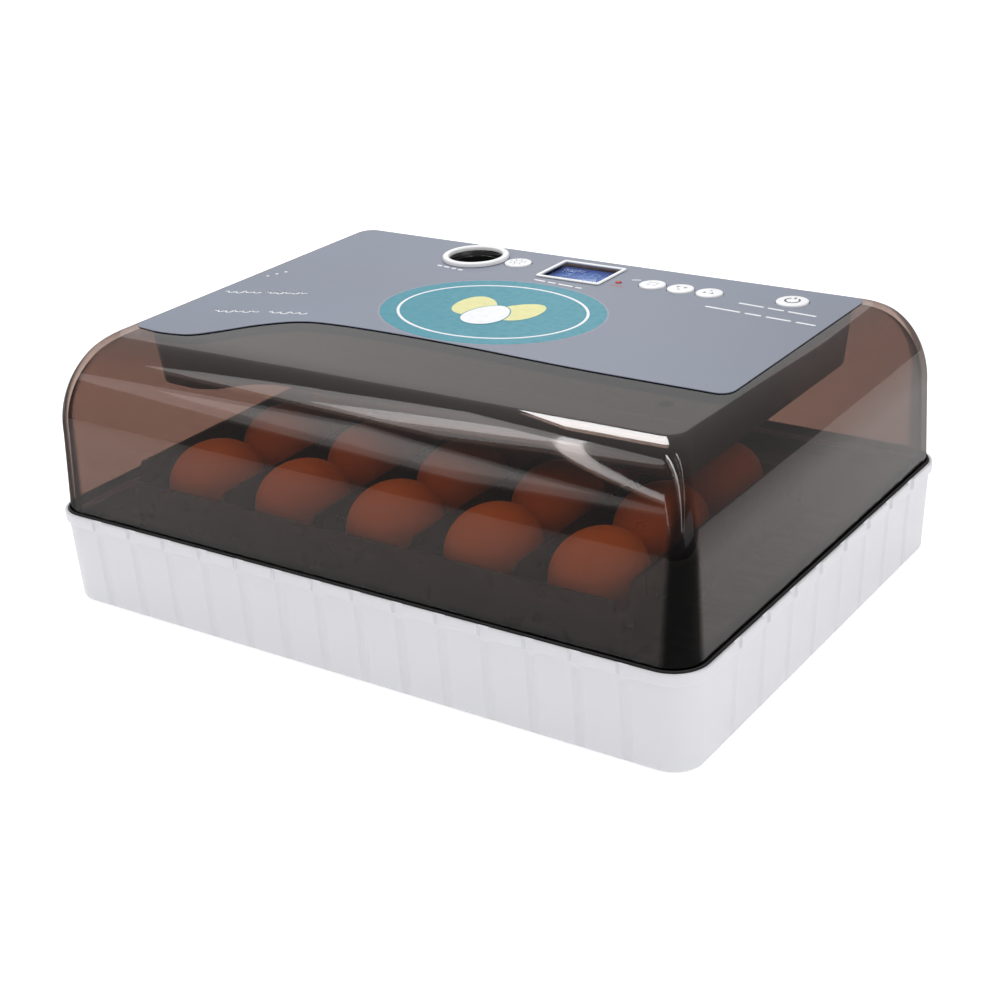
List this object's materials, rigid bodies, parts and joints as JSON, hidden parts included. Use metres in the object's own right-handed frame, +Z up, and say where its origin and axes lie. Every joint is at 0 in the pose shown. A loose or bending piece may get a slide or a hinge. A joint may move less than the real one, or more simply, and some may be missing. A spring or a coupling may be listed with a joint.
{
  "type": "egg incubator",
  "caption": "Table-top egg incubator: ribbed base tub, lift-off smoke-clear lid with a control panel, candler and fan, and a motor-driven egg turner inside.",
  "frame": {"origin": "middle of the underside of the base tub", "axes": "+X along the long side, to the right of somebody who faces the rounded front; +Y towards the back, where the mains inlet is; +Z up"},
  "size_m": [0.4, 0.3, 0.1444],
  "materials": {
    "tub": "smooth white plastic",
    "seal": "matte black rubber",
    "inner_plastic": "moulded black plastic",
    "housing": "moulded dark grey-brown plastic",
    "lid": "clear smoke-brown plastic, polished",
    "panel": "fine matte printed film",
    "ring": "matte white",
    "keys": "matte white",
    "window": "clear",
    "display": "blue back-lit display",
    "lamp": "red lens",
    "light_emitter": "clear lens over a pale emitter",
    "board": "green lacquered board",
    "eggs": "brown eggshell, fine pores",
    "gear": "natural nylon",
    "steel": "plated steel",
    "heater": "heat-tinted steel tube"
  },
  "bodies": {
    "base": {"base_tub": "tub", "rim_seal": "seal", "water_tray": "inner_plastic", "egg_floor": "inner_plastic", "motor_bracket": "steel", "turner_motor": "steel", "motor_screw_1": "steel", "motor_screw_2": "steel"},
    "turner": {"turner_frame": "inner_plastic", "egg_divider_1": "inner_plastic", "egg_divider_2": "inner_plastic", "egg_divider_3": "inner_plastic", "egg_divider_4": "inner_plastic"},
    "pinion": {"drive_pinion": "gear"},
    "egg_1_body": {"egg_1": "eggs"},
    "egg_2_body": {"egg_2": "eggs"},
    "egg_3_body": {"egg_3": "eggs"},
    "egg_4_body": {"egg_4": "eggs"},
    "egg_5_body": {"egg_5": "eggs"},
    "egg_6_body": {"egg_6": "eggs"},
    "egg_7_body": {"egg_7": "eggs"},
    "egg_8_body": {"egg_8": "eggs"},
    "egg_9_body": {"egg_9": "eggs"},
    "egg_10_body": {"egg_10": "eggs"},
    "egg_11_body": {"egg_11": "eggs"},
    "egg_12_body": {"egg_12": "eggs"},
    "egg_13_body": {"egg_13": "eggs"},
    "egg_14_body": {"egg_14": "eggs"},
    "egg_15_body": {"egg_15": "eggs"},
    "lid": {"lid_shell": "lid", "control_housing": "housing", "panel_film": "panel", "candler_ring": "ring", "candler_cup": "inner_plastic", "candler_led": "light_emitter", "display_bezel": "ring", "display_window": "window", "display_module": "display", "housing_screw_1": "steel", "housing_screw_2": "steel", "housing_screw_3": "steel", "housing_screw_4": "steel", "alarm_lamp": "lamp", "main_board": "board", "power_board": "board", "fan_frame": "inner_plastic", "fan_guard": "inner_plastic", "heater_ring": "heater", "sensor_probe": "steel", "humidity_sensor": "keys", "mains_inlet": "inner_plastic", "dc_socket": "inner_plastic"},
    "fan": {"fan_impeller": "inner_plastic"},
    "candler_key_body": {"candler_key": "keys"},
    "set_key_body": {"set_key": "keys"},
    "down_key_body": {"down_key": "keys"},
    "up_key_body": {"up_key": "keys"},
    "power_key_body": {"power_key": "keys"}
  },
  "joints": [
    {"name": "turner_slide", "type": "slide", "parent": "base", "child": "turner", "axis": [1, 0, 0], "range_m": [-0.02, 0.02]},
    {"name": "pinion_spin", "type": "hinge", "parent": "base", "child": "pinion", "pos_m": [0, 0.0775, 0.061], "axis": [0, 0, 1], "range_deg": [-110, 110]},
    {"name": "egg_1_roll", "type": "hinge", "parent": "turner", "child": "egg_1_body", "pos_m": [-0.122, -0.095, 0.0661], "axis": [0, 1, 0], "range_deg": [-50, 50]},
    {"name": "egg_2_roll", "type": "hinge", "parent": "turner", "child": "egg_2_body", "pos_m": [-0.061, -0.095, 0.0661], "axis": [0, 1, 0], "range_deg": [-50, 50]},
    {"name": "egg_3_roll", "type": "hinge", "parent": "turner", "child": "egg_3_body", "pos_m": [0, -0.095, 0.0661], "axis": [0, 1, 0], "range_deg": [-50, 50]},
    {"name": "egg_4_roll", "type": "hinge", "parent": "turner", "child": "egg_4_body", "pos_m": [0.061, -0.095, 0.0661], "axis": [0, 1, 0], "range_deg": [-50, 50]},
    {"name": "egg_5_roll", "type": "hinge", "parent": "turner", "child": "egg_5_body", "pos_m": [0.122, -0.095, 0.0661], "axis": [0, 1, 0], "range_deg": [-50, 50]},
    {"name": "egg_6_roll", "type": "hinge", "parent": "turner", "child": "egg_6_body", "pos_m": [-0.122, -0.0335, 0.0661], "axis": [0, 1, 0], "range_deg": [-50, 50]},
    {"name": "egg_7_roll", "type": "hinge", "parent": "turner", "child": "egg_7_body", "pos_m": [-0.061, -0.0335, 0.0661], "axis": [0, 1, 0], "range_deg": [-50, 50]},
    {"name": "egg_8_roll", "type": "hinge", "parent": "turner", "child": "egg_8_body", "pos_m": [0, -0.0335, 0.0661], "axis": [0, 1, 0], "range_deg": [-50, 50]},
    {"name": "egg_9_roll", "type": "hinge", "parent": "turner", "child": "egg_9_body", "pos_m": [0.061, -0.0335, 0.0661], "axis": [0, 1, 0], "range_deg": [-50, 50]},
    {"name": "egg_10_roll", "type": "hinge", "parent": "turner", "child": "egg_10_body", "pos_m": [0.122, -0.0335, 0.0661], "axis": [0, 1, 0], "range_deg": [-50, 50]},
    {"name": "egg_11_roll", "type": "hinge", "parent": "turner", "child": "egg_11_body", "pos_m": [-0.122, 0.028, 0.0661], "axis": [0, 1, 0], "range_deg": [-50, 50]},
    {"name": "egg_12_roll", "type": "hinge", "parent": "turner", "child": "egg_12_body", "pos_m": [-0.061, 0.028, 0.0661], "axis": [0, 1, 0], "range_deg": [-50, 50]},
    {"name": "egg_13_roll", "type": "hinge", "parent": "turner", "child": "egg_13_body", "pos_m": [0, 0.028, 0.0661], "axis": [0, 1, 0], "range_deg": [-50, 50]},
    {"name": "egg_14_roll", "type": "hinge", "parent": "turner", "child": "egg_14_body", "pos_m": [0.061, 0.028, 0.0661], "axis": [0, 1, 0], "range_deg": [-50, 50]},
    {"name": "egg_15_roll", "type": "hinge", "parent": "turner", "child": "egg_15_body", "pos_m": [0.122, 0.028, 0.0661], "axis": [0, 1, 0], "range_deg": [-50, 50]},
    {"name": "lid_lift", "type": "slide", "parent": "base", "child": "lid", "axis": [0, 0, 1], "range_m": [0, 0.16]},
    {"name": "fan_spin", "type": "hinge", "parent": "lid", "child": "fan", "pos_m": [-0.01, 0.02, 0.1104], "axis": [0, 0, 1], "continuous": true},
    {"name": "candler_key_press", "type": "slide", "parent": "lid", "child": "candler_key_body", "axis": [0, 0, -1], "range_m": [0, 0.001], "stiffness_N_per_m": 400, "springref_m": -0.0005},
    {"name": "set_key_press", "type": "slide", "parent": "lid", "child": "set_key_body", "axis": [0, 0, -1], "range_m": [0, 0.001], "stiffness_N_per_m": 400, "springref_m": -0.0005},
    {"name": "down_key_press", "type": "slide", "parent": "lid", "child": "down_key_body", "axis": [0, 0, -1], "range_m": [0, 0.001], "stiffness_N_per_m": 400, "springref_m": -0.0005},
    {"name": "up_key_press", "type": "slide", "parent": "lid", "child": "up_key_body", "axis": [0, 0, -1], "range_m": [0, 0.001], "stiffness_N_per_m": 400, "springref_m": -0.0005},
    {"name": "power_key_press", "type": "slide", "parent": "lid", "child": "power_key_body", "axis": [0, 0, -1], "range_m": [0, 0.001], "stiffness_N_per_m": 400, "springref_m": -0.0005}
  ],
  "couplings": [
    {"joint": "pinion_spin", "follows": "turner_slide", "rad_per_m": 95.238},
    {"joint": "egg_1_roll", "follows": "turner_slide", "rad_per_m": 43.103},
    {"joint": "egg_2_roll", "follows": "turner_slide", "rad_per_m": 43.103},
    {"joint": "egg_3_roll", "follows": "turner_slide", "rad_per_m": 43.103},
    {"joint": "egg_4_roll", "follows": "turner_slide", "rad_per_m": 43.103},
    {"joint": "egg_5_roll", "follows": "turner_slide", "rad_per_m": 43.103},
    {"joint": "egg_6_roll", "follows": "turner_slide", "rad_per_m": 43.103},
    {"joint": "egg_7_roll", "follows": "turner_slide", "rad_per_m": 43.103},
    {"joint": "egg_8_roll", "follows": "turner_slide", "rad_per_m": 43.103},
    {"joint": "egg_9_roll", "follows": "turner_slide", "rad_per_m": 43.103},
    {"joint": "egg_10_roll", "follows": "turner_slide", "rad_per_m": 43.103},
    {"joint": "egg_11_roll", "follows": "turner_slide", "rad_per_m": 43.103},
    {"joint": "egg_12_roll", "follows": "turner_slide", "rad_per_m": 43.103},
    {"joint": "egg_13_roll", "follows": "turner_slide", "rad_per_m": 43.103},
    {"joint": "egg_14_roll", "follows": "turner_slide", "rad_per_m": 43.103},
    {"joint": "egg_15_roll", "follows": "turner_slide", "rad_per_m": 43.103}
  ]
}
